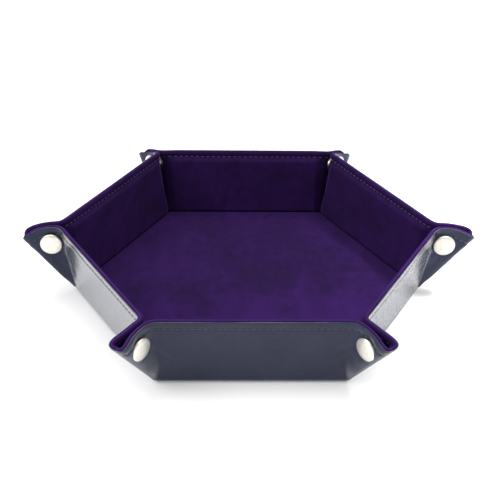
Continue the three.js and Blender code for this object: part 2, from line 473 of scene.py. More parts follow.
def cap_material(name):
    """Snap caps: satin nickel with a pale, pearly plating."""
    m, nt, b = material(name)
    k = N(nt)
    ob = k.mm("Object")
    n = k.noise(ob, 0.35, 3.0, 0.55)
    fine = k.noise(ob, 3.0, 2.0, 0.6)
    k.put(b.inputs["Base Color"], k.ramp(n, [(0.3, (0.72, 0.69, 0.61)), (0.7, (0.86, 0.835, 0.76))]))
    b.inputs["Metallic"].default_value = 0.85
    k.put(b.inputs["Roughness"], k.rng(fine, 0.2, 0.8, 0.26, 0.38))
    b.inputs["Coat Weight"].default_value = 0.5
    b.inputs["Coat Roughness"].default_value = 0.12
    k.put(b.inputs["Normal"], k.bump(fine, 0.006, 0.4, k.bump(n, 0.08, 0.3)))
    return m


def board_material(name):
    m, nt, b = material(name)
    k = N(nt)
    ob = k.mm("Object")
    n = k.noise(ob, 0.9, 5.0, 0.65)
    fleck = k.voronoi(ob, 0.8)
    col = k.ramp(n, [(0.3, (0.13, 0.115, 0.095)), (0.7, (0.26, 0.235, 0.2))])
    col = k.mix(k.rng(fleck, 0.0, 0.12, 0.5, 0.0), col, (0.06, 0.05, 0.045, 1))
    k.put(b.inputs["Base Color"], col)
    k.put(b.inputs["Roughness"], k.rng(n, 0, 1, 0.8, 0.95))
    k.put(b.inputs["Normal"], k.bump(n, 0.1, 0.6))
    return m


def thread_material(name, a, c):
    m, nt, b = material(name)
    k = N(nt)
    ob = k.mm("Object")
    n = k.noise(ob, 2.2, 3.0, 0.6)
    w = k.node("ShaderNodeTexWave", wave_type="BANDS", bands_direction="DIAGONAL")
    k.put(w.inputs["Vector"], ob)
    w.inputs["Scale"].default_value = 1.1
    w.inputs["Distortion"].default_value = 1.0
    k.put(b.inputs["Base Color"], k.mix(n, (*a, 1), (*c, 1)))
    k.put(b.inputs["Roughness"], k.rng(n, 0, 1, 0.45, 0.7))
    b.inputs["Sheen Weight"].default_value = 0.3
    k.put(b.inputs["Normal"], k.bump(w.outputs[1], 0.08, 0.7))
    return m


LEATHER_DARK = (0.0120, 0.0138, 0.028)
LEATHER_LIGHT = (0.0190, 0.0220, 0.044)
LEATHER_ROUGH = 0.34
LEATHER_SPEC = 0.36
LEATHER_COAT = 1.0
VELVET = (0.0130, 0.0025, 0.0375)
VELVET_SHEEN = 0.09

leather = leather_material("leather_skin")
leather_edge = leather_material("leather_cut_edge", edge=True)
velvet = velvet_material("velvet_floor")
velvet_wall = velvet_material("velvet_wall", dark=1.05, front_painted_light=False)
# painted highlight: the velvet's cut edge is a 1.3 times lighter copy of the velvet, mixed towards a brighter purple
velvet_edge_highlight = velvet_material("velvet_edge_highlight", dark=1.3, edge=True, front_painted_light=False)
nickel = metal_material("nickel", (0.74, 0.72, 0.69), 0.26)
cap_finish = cap_material("nickel_cap")
board = board_material("grey_board")
thread_out = thread_material("thread_slate", (0.016, 0.018, 0.030), (0.045, 0.050, 0.072))
thread_in = thread_material("thread_plum", (0.022, 0.012, 0.040), (0.062, 0.042, 0.095))

# ---------------------------------------------------------------- section of a wall
EAR_T = 2.0  # velvet's visible face in from the leather's middle, where there is no board
BOARD_T = 3.9  # the same over the board


def boardness(t, q):
    return (1 - smooth(q, 36.8, 40.6)) * (1 - smooth(abs(t), 44.8, 48.4))


def leather_out(t, q, seed_a, seed_b):
    """Height of the leather's outside over its middle surface."""
    h = 0.5
    h -= 0.22 * math.exp(-(((q - (RIM - STITCH_AT["outer"])) / 0.75) ** 2))  # the stitches pull a groove
    h += 0.10 * math.exp(-(((q - 41.2) / 1.3) ** 2)) - 0.15 * smooth(q, 38.2, 39.6)
    h += wave(t, q, seed_a, 26.0, 0.16) + wave(t, q, seed_a + 5, 9.0, 0.045)
    # the board's end shows through as a faint ridge
    h += 0.10 * math.exp(-(((abs(t) - 46.2) / 0.6) ** 2)) * (1 - smooth(q, 36, 38.5)) - 0.12 * smooth(abs(t), 46, 48) * (1 - smooth(q, 36, 38.5))
    h += leather_wrinkle(abs(t) - 50.0, q, seed_b if t > 0 else seed_a + 11)
    return h * smooth(q, -1.0, 3.0) + 0.5 * (1 - smooth(q, -1.0, 3.0))


def velvet_in(t, q, seed):
    """Depth of the velvet's visible face in from the leather's middle surface."""
    B = boardness(t, q)
    h = EAR_T + (BOARD_T - EAR_T) * B
    h += (1 - B) * (0.4 * math.exp(-(((q - 41.6) / 1.4) ** 2)) + 0.35 * smooth(q, 39.4, 41))
    h -= 0.22 * math.exp(-(((q - (RIM - STITCH_AT["inner"])) / 0.8) ** 2))
    h += wave(t, q, seed + 40, 18.0, 0.14) * smooth(q, 4, 9)
    return h


ROWS = [2.01] + list(np.linspace(3.4, 36.0, 22)) + [37.0, 37.7, 38.2, 38.6, 39.0, 39.5, 40.2, 41.0, 41.8, 42.5]
COLS = list(np.linspace(-SEAM, SEAM, 57))


def rim_at(t):
    return RIM


# ---------------------------------------------------------------- leather
def leather_floor():
    """The flat hexagon of the outside skin."""
    s = Sheet()
    N_ = 22
    a = 84.59 * 2 / math.sqrt(3)
    e1 = np.array([math.cos(0), math.sin(0), 0])
    corners = [np.array([math.cos(math.radians(60 * k)), math.sin(math.radians(60 * k)), 0]) * a for k in range(6)]
    for k in range(6):
        p, q = corners[k], corners[(k + 1) % 6]
        for r in range(N_):
            for c in range(N_ - r):
                def at(x, y):
                    return p * x / N_ + q * y / N_
                def vid(x, y):
                    P = at(x, y)
                    key = (round(P[0], 3), round(P[1], 3))
                    edge = (x + y) / N_
                    dz = (wave(P[0], P[1], 3, 22.0, 0.10) - 0.0) * (1 - smooth(edge, 0.9, 1.0))
                    return s.v(key, np.array([P[0], P[1], max(0.0, 0.0 + 0 * dz)]), np.array([P[0], P[1], 1.0]), (P[0] * MM, P[1] * MM))
                s.face(vid(r, c), vid(r + 1, c), vid(r, c + 1))
                if r + c + 2 <= N_:
                    s.face(vid(r + 1, c), vid(r + 1, c + 1), vid(r, c + 1))
    obj = s.build("floor_leather", [leather, leather_edge])
    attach(obj, "base")
    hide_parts("base_leather")


def leather_wall(i):
    w = WALLS[i]
    s = Sheet()
    seed_a, seed_b = 10 * i + 3, 10 * i + 7
    Rm = 2.4
    turn = math.pi / 2 - LEAN
    T0 = Rm * math.tan(turn / 2)
    cen = np.array([AP - T0, HZ + Rm])
    arc = []
    for k in range(9):
        a = -math.pi / 2 + turn * k / 8
        arc.append((cen + (Rm + 0.5) * np.array([math.cos(a), math.sin(a)]), cen + (Rm - 0.5) * np.array([math.cos(a), math.sin(a)]), smooth(k / 8, 0, 1), cen[0] + Rm * math.cos(a), Rm * turn * k / 8))
    frac = [0.25, 0.5, 0.75, 1.0]
    ids = []
    for k, (po, pi, wt, nm, run) in enumerate(arc):
        tmax = nm * math.tan(math.pi / 6)
        ts = [-(SEAM + (tmax - SEAM) * f) for f in reversed(frac)] + COLS + [SEAM + (tmax - SEAM) * f for f in frac]
        row = []
        for j, t in enumerate(ts):
            def put(p):
                return w.n * p[0] + w.e * t + Z * p[1]
            q = -T0 + run * (2 * T0) / (Rm * turn)
            row.append(s.v(("a", k, j), put(po), put(pi), w.flat(t, q), wt))
        ids.append(row)
    for k in range(len(ids) - 1):
        for j in range(len(ids[0]) - 1):
            s.face(ids[k][j], ids[k][j + 1], ids[k + 1][j + 1], ids[k + 1][j])
    prev = ids[-1][len(frac):len(frac) + len(COLS)]
    rows = ROWS[1:] + ["r3", "r2", "r1", "r0"]
    for r in rows:
        row = []
        for j, t in enumerate(COLS):
            top = rim_at(t)
            if isinstance(r, str):
                q = top - {"r3": 0.55, "r2": 0.25, "r1": 0.08, "r0": 0.0}[r]
                cut = {"r3": 0.0, "r2": 0.03, "r1": 0.12, "r0": 0.26}[r]
            else:
                q, cut = r, 0.0
            po = w.at(t, q, leather_out(t, q, seed_a, seed_b) - cut)
            pi = w.at(t, q, -0.5 + 0.42 * smooth(q, 38.5, 40.5) + cut * 0.3)
            row.append(s.v((r, j), po, pi, w.flat(t, q), 1.0, rim=(r == "r0")))
        for j in range(len(COLS) - 1):
            s.face(prev[j], prev[j + 1], row[j + 1], row[j])
        prev = row
    obj = s.build(f"wall_{i}_leather_skin", [leather, leather_edge])
    blend_by(obj, w.at(0, -5, 0), w.at(0, 5, 0))
    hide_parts(f"wall_{i}_leather")


# ---------------------------------------------------------------- velvet
def velvet_floor():
    s = Sheet()
    N_ = 30
    n0 = 82.2
    a = n0 * 2 / math.sqrt(3)
    corners = [np.array([math.cos(math.radians(60 * k)), math.sin(math.radians(60 * k)), 0]) * a for k in range(6)]
    edge_ring = {}
    for k in range(6):
        p, q = corners[k], corners[(k + 1) % 6]

        def vid(x, y):
            P = p * x / N_ + q * y / N_
            key = (round(P[0], 3), round(P[1], 3))
            z = 4.4
            puff = 1 - smooth((x + y) / N_, 0.86, 1.0)
            z += (wave(P[0], P[1], 1, 24.0, 0.16) + wave(P[0], P[1], 2, 8.0, 0.05)) * puff
            return s.v(key, np.array([P[0], P[1], z]), np.array([P[0], P[1], 3.25]), (P[0] * MM, P[1] * MM))

        for r in range(N_):
            for c in range(N_ - r):
                s.face(vid(r, c), vid(r + 1, c), vid(r, c + 1))
                if r + c + 2 <= N_:
                    s.face(vid(r + 1, c), vid(r + 1, c + 1), vid(r, c + 1))
        for c in range(N_):
            P = p * (N_ - c) / N_ + q * c / N_
            edge_ring[k * N_ + c] = (P, vid(N_ - c, c))
    # the edge turns down into the crease
    prof = [(82.8, 4.37, 82.6, 3.3), (83.3, 4.22, 83.1, 3.3), (83.75, 3.9, 83.5, 3.3), (84.1, 3.4, 83.95, 3.1), (84.38, 2.6, 84.1, 2.4), (84.45, 1.9, 84.12, 1.7), (84.5, 1.5, 84.2, 1.12), (84.75, 1.32, 84.8, 1.08), (85.3, 1.3, 85.3, 1.1)]
    total = 6 * N_
    prev = [edge_ring[k][1] for k in range(total)]
    run = 0.0
    last = (n0, 4.4)
    for r, (n1, z1, n2, z2) in enumerate(prof):
        run += math.hypot(n1 - last[0], z1 - last[1])
        last = (n1, z1)
        row = []
        for k in range(total):
            P = edge_ring[k][0]
            f = (n0 + run) / n0
            row.append(s.v(("ring", r, k), np.array([P[0] * n1 / n0, P[1] * n1 / n0, z1]), np.array([P[0] * n2 / n0, P[1] * n2 / n0, z2]), (P[0] * f * MM, P[1] * f * MM)))
        for k in range(total):
            s.face(prev[k], row[k], row[(k + 1) % total], prev[(k + 1) % total])
        prev = row
    obj = s.build("floor_velvet", [velvet, velvet_edge_highlight], edge_slot=0)
    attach(obj, "base")
    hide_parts("base_lining")


def velvet_wall_skin(i):
    w = WALLS[i]
    s = Sheet()
    seed = 10 * i + 5

    def local(n, z):
        dn, dz = n - AP, z - HZ
        return dn * math.sin(LEAN) + dz * math.cos(LEAN), dn * math.cos(LEAN) - dz * math.sin(LEAN)

    # the foot: round the crease just inside the leather, and in under the board's lower edge
    foot = []
    R, turn = 2.4, math.pi / 2 - LEAN
    T0 = R * math.tan(turn / 2)
    for k in range(8):
        a = -math.pi / 2 + turn * k / 8
        c, si = math.cos(a), math.sin(a)
        n0, z0 = AP - T0, HZ + R
        foot.append((*local(n0 + 1.42 * c, z0 + 1.42 * si), *local(n0 + 1.80 * c, z0 + 1.80 * si), smooth(k / 8, 0, 1), -T0 + 2 * T0 * k / 8))
    foot += [(2.05, -0.98, 2.05, -0.6, 1.0, 2.05), (2.6, -0.98, 2.6, -0.6, 1.0, 2.6), (3.15, -1.05, 3.35, -0.65, 1.0, 3.15)]
    frac = [0.25, 0.5, 0.75, 1.0]
    lim = {}
    ids = []
    cols = None
    for k, (q1, o1, q2, o2, wt, run) in enumerate(foot):
        nm = AP + q1 * math.sin(LEAN) + o1 * math.cos(LEAN)
        tmax = nm * math.tan(math.pi / 6) - 0.02
        ts = [-(SEAM + (tmax - SEAM) * f) for f in reversed(frac)] + COLS + [SEAM + (tmax - SEAM) * f for f in frac]
        ids.append([s.v(("f", k, j), w.at(t, q1, o1), w.at(t, q2, o2), w.flat(t, run), wt) for j, t in enumerate(ts)])
    for r, (q1, fo, q2, hid) in enumerate(((3.3, 0.45, 3.6, 0.45), (3.5, 0.85, 3.85, 0.8), (3.9, 0.97, 4.05, 0.97))):
        row = []
        for j, t in enumerate(ts):
            B = boardness(t, 10)
            deep = EAR_T + (BOARD_T - EAR_T) * B
            o1 = -0.9 - (deep - 0.9) * fo
            inner = 0.6 + 2.15 * B
            o2 = -0.65 - (inner - 0.65) * hid
            tm = (AP + q1 * math.sin(LEAN) + o1 * math.cos(LEAN)) * math.tan(math.pi / 6) - 0.1
            tt = max(-tm, min(tm, t))
            q2b = max(q2 if B > 0.3 else q1 + 0.15, q1 + 0.1)
            row.append(s.v(("g", r, j), w.at(tt, q1, o1), w.at(tt, q2b, min(o2, o1 + 1.2) if r == 2 else o2), w.flat(t, q1), 1.0))
        ids.append(row)
    for k in range(len(ids) - 1):
        for j in range(len(ids[0]) - 1):
            s.face(ids[k][j], ids[k][j + 1], ids[k + 1][j + 1], ids[k + 1][j])
    prev = ids[-1][len(frac):len(frac) + len(COLS)]
    rows = [4.6, 5.6, 7.0] + [r for r in ROWS if r > 7.2] + ["r4", "r3", "r2", "r1", "r0"]
    for r in rows:
        row = []
        for j, t in enumerate(COLS):
            top = rim_at(t) + 0.25
            if isinstance(r, str):
                q = top - {"r4": 1.0, "r3": 0.55, "r2": 0.24, "r1": 0.07, "r0": 0.0}[r]
                cut = {"r4": 0.0, "r3": 0.08, "r2": 0.27, "r1": 0.5, "r0": 0.75}[r]
            else:
                q, cut = r, 0.0
            vis = velvet_in(t, q, seed)
            hid = 0.56 + 2.12 * boardness(t, q) - 0.44 * smooth(q, 38.5, 40.5)
            midp = (vis + hid) / 2
            po = w.at(t, q, -(vis + (midp - vis) * cut))
            pi = w.at(t, q, -(hid + (midp - hid) * cut))
            row.append(s.v((r, j), po, pi, w.flat(t, q), 1.0, rim=(r == "r0")))
        for j in range(len(COLS) - 1):
            s.face(prev[j], prev[j + 1], row[j + 1], row[j])
        prev = row
    obj = s.build(f"wall_{i}_velvet", [velvet_wall, velvet_edge_highlight], soft_rim=True, edge_slot=0, rim_slot=1)
    mark_rim(obj, w)
    blend_by(obj, w.at(0, -5, 0), w.at(0, 5, 0))
    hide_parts(f"wall_{i}_lining")


def mark_rim(obj, w, depth=1.0):
    """Leaves the object as it is. The cut edge of the velvet catches more light; its painted highlight comes from the
    edge material that the sheet's build gives the rim faces.
    """
    return obj


# ---------------------------------------------------------------- ears
def spline_points(ctrl, count):
    """Uniform cubic through the control points, mirrored at its far end in the second coordinate."""
    c = [np.array(p, float) for p in ctrl]
    last = c[-2].copy()
    last[1] = -last[1]
    c.append(last)
    c = np.array(c)
    seg = len(c) - 3
    pts = []
    for k in range(seg):
        for j in range(count):
            t = j / count
            b = np.array([(1 - t) ** 3, 3 * t**3 - 6 * t**2 + 4, -3 * t**3 + 3 * t**2 + 3 * t + 1, t**3]) / 6
            pts.append(b @ c[k:k + 4])
    t = 1.0
    b = np.array([0, 1, 4, 1]) / 6
    pts.append(b @ c[seg - 1:seg + 3])
    return np.array(pts)


class Half:
    """One half of an ear, in its wall's own frame: x past the wall's end, y out of the wall, q up it."""

    def __init__(self, corner, side):
        self.c = CORNERS[corner]
        self.side = side  # 'stud' on wall i, 'socket' on wall i + 1
        self.wall = WALLS[corner] if side == "stud" else WALLS[corner + 1]
        self.wi = corner if side == "stud" else (corner % 6) + 1
        self.ex = self.wall.e if side == "stud" else -self.wall.e
        sg = -self.c.s if side == "stud" else self.c.s  # from the middle plane to this half
        self.S = np.array([sg @ self.ex, sg @ self.wall.m, sg @ self.wall.u])
        self.N = math.hypot(self.S[0], self.S[1])
        self.nu = self.S[:2] / self.N  # in the section plane: away from the middle plane
        self.xi = np.array([-self.nu[1], self.nu[0]])
        if self.xi[1] < 0:
            self.xi = -self.xi
        self.alpha = FLAP = 60 + (-EAR_TURN[corner - 1] if side == "stud" else EAR_TURN[corner - 1])
        self.theta = math.radians(self.alpha - 2.5)
        self.vu = self.c.v @ self.wall.u
        self.seed = 100 + corner
        self.cache = {}

    def h(self, q):
        return self.S[2] * q / self.N

    def tip(self, q):
        """How far out the fold line is at height q, from the hinge line's foot on the middle plane."""
        P = self.c.v * (q / self.vu)
        loc = np.array([P @ self.ex, P @ self.wall.m])
        return loc @ self.xi

    def curve(self, q):
        key = round(q, 3)
        if key in self.cache:
            return self.cache[key]
        h = self.h(q)
        L = self.tip(q) - 0.5
        neck = 1.15 + 1.95 * smooth(q, 0, 17) + 0.15 * smooth(q, 25, 40)
        wide = neck + 1.9 * smooth(q, 14, 36)
        dx = self.nu[0]  # change of distance from the middle plane for each step in x (negative)
        wl = lambda x: np.array([x * self.xi[0], h + x * dx])
        xc = (neck - h) / dx
        C = wl(xc)
        rho = max(L - C[0], 0.6)
        x3 = min(-3.2, xc - 1.3)
        pts = [wl(-9), wl(-7), wl(-5)] + ([wl(x3)] if q < 12 else []) + [C]
        if q > 10:
            pts += [(C[0] + rho * f, e) for f, e in ((0.2, neck), (0.42, neck), (0.62, neck + (wide - neck) * 0.35), (0.80, wide), (0.955, wide * 0.9), (1.0, wide * 0.42))]
        else:
            k = smooth(q, 4, 10)
            pts += [(C[0] + rho * f, e) for f, e in ((0.22 + 0.0 * k, neck * (0.97)), (0.42, neck * (0.9 + 0.1 * k)), (0.64, neck * (0.78 + 0.2 * k)), (0.80, neck * (0.62 + 0.35 * k)), (0.955, neck * (0.5 + 0.38 * k)), (1.0, neck * 0.25 + (wide * 0.42 - neck * 0.25) * k))]
        pts += [(C[0] + rho, 0.0)]
        line = spline_points(pts, 8)
        seg = np.linalg.norm(np.diff(line, axis=0), axis=1)
        run = np.concatenate([[0], np.cumsum(seg)])
        self.cache[key] = (line, run)
        return self.cache[key]

    def place(self, a, q):
        """Middle of the leather at share a of the way from the seam to the fold line, in (x, y)."""
        line, run = self.curve(q)
        # even steps, packed a little towards the fold
        d = a * run[-1]
        xi = np.interp(d, run, line[:, 0])
        et = np.interp(d, run, line[:, 1])
        off = et - self.h(q)
        return self.xi * xi + self.nu * off, d, run[-1]

    def world(self, xy, q):
        return self.c.at + self.ex * xy[0] + self.wall.m * xy[1] + self.wall.u * q

    def eta(self, P):
        sg = -self.c.s if self.side == "stud" else self.c.s
        return (P - self.c.at) @ sg

    def normal(self, a, q):
        e = 0.012
        a0, a1 = max(0, a - e), min(1, a + e)
        A = self.world(self.place(a1, q)[0], q) - self.world(self.place(a0, q)[0], q)
        B = self.world(self.place(a, q + 0.3)[0], q + 0.3) - self.world(self.place(a, q - 0.3)[0], q - 0.3)
        if a > 0.999:
            A = self.c.s * (1 if self.side == "stud" else -1)
        n = np.cross(A, B)
        n = unit(n)
        if self.side != "stud":
            n = -n
        if a > 0.985:
            sg = self.c.s
            k = smooth(a, 0.985, 1.0)
            n = unit(n - sg * (n @ sg) * k)
        return n

    def rim(self, a):
        """Height of the rim at share a: the flat pattern's outline."""
        S = self.curve(42.0)[1][-1]
        k = a * S
        p = -7.0 + k
        if p > 2:  # the curve is longer than the flat pattern near the fold
            p = 2 + (p - 2) * (24.6 - 2) / (S - 7.0 - 2)
        return ear_rim(p, self.c.i)

    def weight(self, mid, vert, target):
        """Share of the fold for a point: it comes down to height target over the wall's plane when the ear is open."""
        def share(p, tgt):
            r = math.hypot(p[0], p[1])
            phi = math.atan2(p[1], p[0])
            if phi < -math.pi / 2:
                phi += 2 * math.pi
            t0 = math.asin(max(-0.9, min(0.9, tgt / max(r, 1e-6)))) if r > 3 else 0.0
            if phi <= math.pi / 2:
                return max(0.0, min(1.0, (phi - t0) / self.theta))
            return smooth(math.pi - phi, 0.0, math.pi / 2)
        r = math.hypot(mid[0], mid[1])
        wm = share(mid, 0.0)
        if mid[0] < -3.5:
            return 0.0
        if r < 4:
            return wm
        k = smooth(r, 4, 8)
        return wm * (1 - k) + share(vert, target) * k

    def local(self, P):
        d = P - self.c.at
        return np.array([d @ self.ex, d @ self.wall.m])


def ear_columns():
    a = list(np.linspace(0, 0.78, 22)) + list(np.linspace(0.805, 1.0, 12))
    return a


EAR_COLS = ear_columns()


def keep_side(half, P, least):
    e = half.eta(P)
    if e < least:
        sg = -half.c.s if half.side == "stud" else half.c.s
        P = P + sg * (least - e)
    return P


def flat_uv(half, p, q):
    P = half.wall.n * (AP + q) + half.ex * (50 + p)
    return (P[0] * MM, P[1] * MM)


def ear_leather(corner, side):
    H = Half(corner, side)
    s = Sheet()
    wseed_a, wseed_b = 10 * H.wi + 3, 10 * H.wi + 7
    sign = 1 if side == "stud" else -1
    rows = ROWS + ["r3", "r2", "r1", "r0"]
    prev = None
    for r in rows:
        row = []
        for j, a in enumerate(EAR_COLS):
            top = H.rim(a)
            if isinstance(r, str):
                q = top - {"r3": 0.55, "r2": 0.25, "r1": 0.08, "r0": 0.0}[r]
                cut = {"r3": 0.0, "r2": 0.03, "r1": 0.12, "r0": 0.26}[r]
            else:
                q = r if r < 30 else 30 + (r - 30) * ((top - 1.0) - 30) / (42.5 - 30)
                cut = 0.0
            xy, d, S = H.place(a, q)
            p = d - 7.0
            n = H.normal(a, q)
            mid = H.world(xy, q)
            qq = q + (RIM - top) if q > 30 else q
            out = leather_out(sign * (50 + p), qq, wseed_a, wseed_b)
            fade = smooth(a, 0.86, 0.97)
            out = out * (1 - fade) + 0.5 * fade
            po = keep_side(H, mid + n * (out - cut), 0.03)
            pi = keep_side(H, mid - n * (0.5 - 0.42 * smooth(qq, 38.5, 40.5) - cut * 0.3), 0.03)
            if a >= 0.9999:
                sg = H.c.s
                own = (-sg if side == "stud" else sg) * 0.02
                po = po - sg * float((po - H.c.at) @ sg) + own
                pi = pi - sg * float((pi - H.c.at) @ sg) + own
            wo = H.weight(xy, H.local(po), 0.5)
            wi = H.weight(xy, H.local(pi), -0.4)
            row.append(s.v((r, j), po, pi, flat_uv(H, p, q), wo, wi, rim=(r == "r0")))
        if prev:
            for j in range(len(row) - 1):
                s.face(prev[j], prev[j + 1], row[j + 1], row[j])
        prev = row
    obj = s.build(f"corner_{corner}_{side}_leather", [leather, leather_edge])
    c = H.c
    blend_by(obj, H.world(np.array([-5, 0]), 20), H.world(np.array([5, 3]), 20))
    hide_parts(f"corner_{corner}_{side}_flap")
    return H


def ear_velvet(corner, side, H):
    s = Sheet()
    sign = 1 if side == "stud" else -1
    seed = 10 * H.wi + 5
    rows = [3.7, 4.6, 5.6, 7.0] + [r for r in ROWS if r > 7.2] + ["r4", "r3", "r2", "r1", "r0"]
    prev = None
    for r in rows:
        row = []
        for j, a in enumerate(EAR_COLS):
            top = H.rim(a) + 0.25
            if isinstance(r, str):
                q = top - {"r4": 1.0, "r3": 0.55, "r2": 0.24, "r1": 0.07, "r0": 0.0}[r]
                cut = {"r4": 0.0, "r3": 0.08, "r2": 0.27, "r1": 0.5, "r0": 0.75}[r]
            else:
                q = r if r < 30 else 30 + (r - 30) * ((top - 1.25) - 30) / (42.5 - 30)
                cut = 0.0
            xy, d, S = H.place(a, q)
            p = d - 7.0
            n = H.normal(a, q)
            mid = H.world(xy, q)
            qq = q + (RIM - top) if q > 30 else q
            t = sign * (50 + p)
            vis = velvet_in(t, qq, seed)
            fade = smooth(a, 0.8, 0.97)
            vis = vis * (1 - fade) + (EAR_T + 0.1) * fade
            hid = 0.56 + 2.12 * boardness(t, qq) - 0.44 * smooth(qq, 38.5, 40.5)
            midp = (vis + hid) / 2
            po = mid - n * (vis + (midp - vis) * cut)
            pi = mid - n * (hid + (midp - hid) * cut)
            po = keep_side(H, po, 0.03)
            pi = keep_side(H, pi, 0.03)
            last = a >= 0.9999
            if last:
                sg = H.c.s
                own = (-sg if side == "stud" else sg) * 0.02
                po = po - sg * float((po - H.c.at) @ sg) + own
                pi = pi - sg * float((pi - H.c.at) @ sg) + own
            wo = H.weight(xy, H.local(po), -EAR_T)
            wi = H.weight(xy, H.local(pi), -EAR_T if last else -0.6)
            row.append(s.v((r, j), po, pi, flat_uv(H, p, q), wo, wi, rim=(r == "r0")))
        if prev:
            for j in range(len(row) - 1):
                s.face(prev[j], prev[j + 1], row[j + 1], row[j])
        prev = row
    obj = s.build(f"corner_{corner}_{side}_velvet", [velvet_wall, velvet_edge_highlight], soft_rim=True, edge_slot=0, rim_slot=1)
    blend_by(obj, H.world(np.array([-5, 0]), 20), H.world(np.array([5, 3]), 20))
    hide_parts(f"corner_{corner}_{side}_flap")


# ---------------------------------------------------------------- stitches
def stitch_geometry(verts, faces, centre, along, up, length=2.35, width=0.62, height=0.34):
    """One stitch: a short thread pulled down at both ends."""
    side = np.cross(up, along)
    rings = [(-0.5, 0.28, -0.30), (-0.40, 0.75, -0.02), (-0.18, 1.0, 0.16), (0.0, 1.04, 0.2), (0.18, 1.0, 0.16), (0.40, 0.75, -0.02), (0.5, 0.28, -0.30)]
    base = len(verts)
    K = 8
    for f, r, lift in rings:
        for k in range(K):
            a = 2 * math.pi * k / K
            verts.append(centre + along * (f * length) + side * (math.cos(a) * width / 2 * r) + up * (math.sin(a) * height / 2 * r + lift * height))
    for i in range(len(rings) - 1):
        for k in range(K):
            a, b = base + i * K + k, base + i * K + (k + 1) % K
            faces.append((a, b, b + K, a + K))
    faces.append(tuple(base + k for k in reversed(range(K))))
    faces.append(tuple(base + (len(rings) - 1) * K + k for k in range(K)))


def wall_stitches(i):
    w = WALLS[i]
    sa, sb = 10 * i + 3, 10 * i + 7
    for kind, mat in (("outer", thread_out), ("inner", thread_in)):
        verts, faces = [], []
        count = int(2 * (SEAM + 1) / STITCH_PITCH)
        rng = random.Random(i * 2 + (kind == "inner"))
        for k in range(count):
            t = (k - (count - 1) / 2) * STITCH_PITCH
            q = rim_at(t) - STITCH_AT[kind] + rng.uniform(-0.06, 0.06)
            if kind == "outer":
                c = w.at(t, q, leather_out(t, q, sa, sb) + 0.04)
                up = w.m
            else:
                c = w.at(t, q, -velvet_in(t, q, 10 * i + 5) - 0.05)
                up = -w.m
            al = unit(w.e + w.u * rng.uniform(-0.05, 0.05))
            stitch_geometry(verts, faces, c, al, up)
        obj = new_object(f"wall_{i}_stitches_{kind}", verts, faces, mat)
        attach(obj, f"wall_{i}")


def ear_stitches(corner, side, H):
    sign = 1 if side == "stud" else -1
    sa, sb = 10 * H.wi + 3, 10 * H.wi + 7
    count = int(2 * (SEAM + 1) / STITCH_PITCH)
    t_last = (count - 1) / 2 * STITCH_PITCH
    for kind, mat in (("outer", thread_out), ("inner", thread_in)):
        verts, faces, weights = [], [], []
        line, run = H.curve(38.0)
        S = run[-1]
        k = 1
        while True:
            p = t_last + k * STITCH_PITCH - 50
            d = p + 7.0
            k += 1
            if d > S - 1.6:
                break
            a = d / S
            q = H.rim(a) - STITCH_AT[kind]
            xy, _, _ = H.place(a, q)
            n = H.normal(a, q)
            mid = H.world(xy, q)
            qq = q + (RIM - H.rim(a))
            if kind == "outer":
                c = mid + n * (leather_out(sign * (50 + p), qq, sa, sb) + 0.04)
                up = n
            else:
                c = mid - n * (velvet_in(sign * (50 + p), qq, 10 * H.wi + 5) + 0.05)
                up = -n
                if H.eta(c) < 0.45:
                    continue
            a2 = min(1.0, a + 0.03)
            al = unit(H.world(H.place(a2, H.rim(a2) - STITCH_AT[kind])[0], H.rim(a2) - STITCH_AT[kind]) - mid)
            al = unit(al - up * (al @ up))
            before = len(verts)
            stitch_geometry(verts, faces, c, al, up)
            wt = H.weight(xy, H.local(c), 0.5 if kind == "outer" else -EAR_T)
            weights += [wt] * (len(verts) - before)
        obj = new_object(f"corner_{corner}_{side}_stitches_{kind}", verts, faces, mat)
        blend_by(obj, H.world(np.array([-5, 0]), 20), H.world(np.array([5, 3]), 20))


# ---------------------------------------------------------------- snap fasteners
def lathe(name, profile, corner, mat, steps=56):
    """A turned piece about the snap's axis. The profile is (radius, distance along the axis)."""
    verts, faces = [], []
    x, y, z = CORNERS[corner].d, CORNERS[corner].s, CORNERS[corner].g
    o = CORNERS[corner].snap
    rings = []
    for r, h in profile:
        if r < 1e-6:
            rings.append([len(verts)])
            verts.append(o + y * h)
        else:
            ring = []
            for k in range(steps):
                a = 2 * math.pi * k / steps
                ring.append(len(verts))
                verts.append(o + y * h + (x * math.cos(a) + z * math.sin(a)) * r)
            rings.append(ring)
    for A, B in zip(rings, rings[1:]):
        if len(A) == 1 and len(B) == 1:
            continue
        for k in range(steps):
            a, b = A[k % len(A)], A[(k + 1) % len(A)]
            c, d = B[(k + 1) % len(B)], B[k % len(B)]
            f = [v for n, v in enumerate((a, b, c, d)) if v not in (a, b, c, d)[:n]]
            faces.append(tuple(f))
    if len(rings[0]) > 1 and profile[0] == profile[-1]:
        pass
    obj = new_object(name, verts, faces, mat)
    me = obj.data
    import bmesh
    bm = bmesh.new()
    bm.from_mesh(me)
    bmesh.ops.remove_doubles(bm, verts=bm.verts, dist=1e-7)
    bmesh.ops.recalc_face_normals(bm, faces=bm.faces)
    for e in bm.edges:
        if len(e.link_faces) == 2 and e.calc_face_angle(0) > math.radians(48):
            e.smooth = False
    bm.to_mesh(me)
    bm.free()
    return obj


def cap_profile(side):
    u = 4.15
    out = [(0.0, 1.1), (1.6, 1.1), (1.6, u - 0.25), (1.9, u), (5.4, u), (5.75, u - 0.02), (6.0, u + 0.08), (6.18, u + 0.28), (6.25, u + 0.52)]
    # rolled rim, then the dome
    out += [(6.2, u + 0.78), (6.05, u + 1.0), (5.8, u + 1.16)]
    for k in range(1, 11):
        f = k / 10
        r = 5.8 * (1 - f)
        out.append((r, u + 1.16 + 0.84 * (1 - (r / 5.8) ** 2.2)))
    return [(r, side * h) for r, h in out]


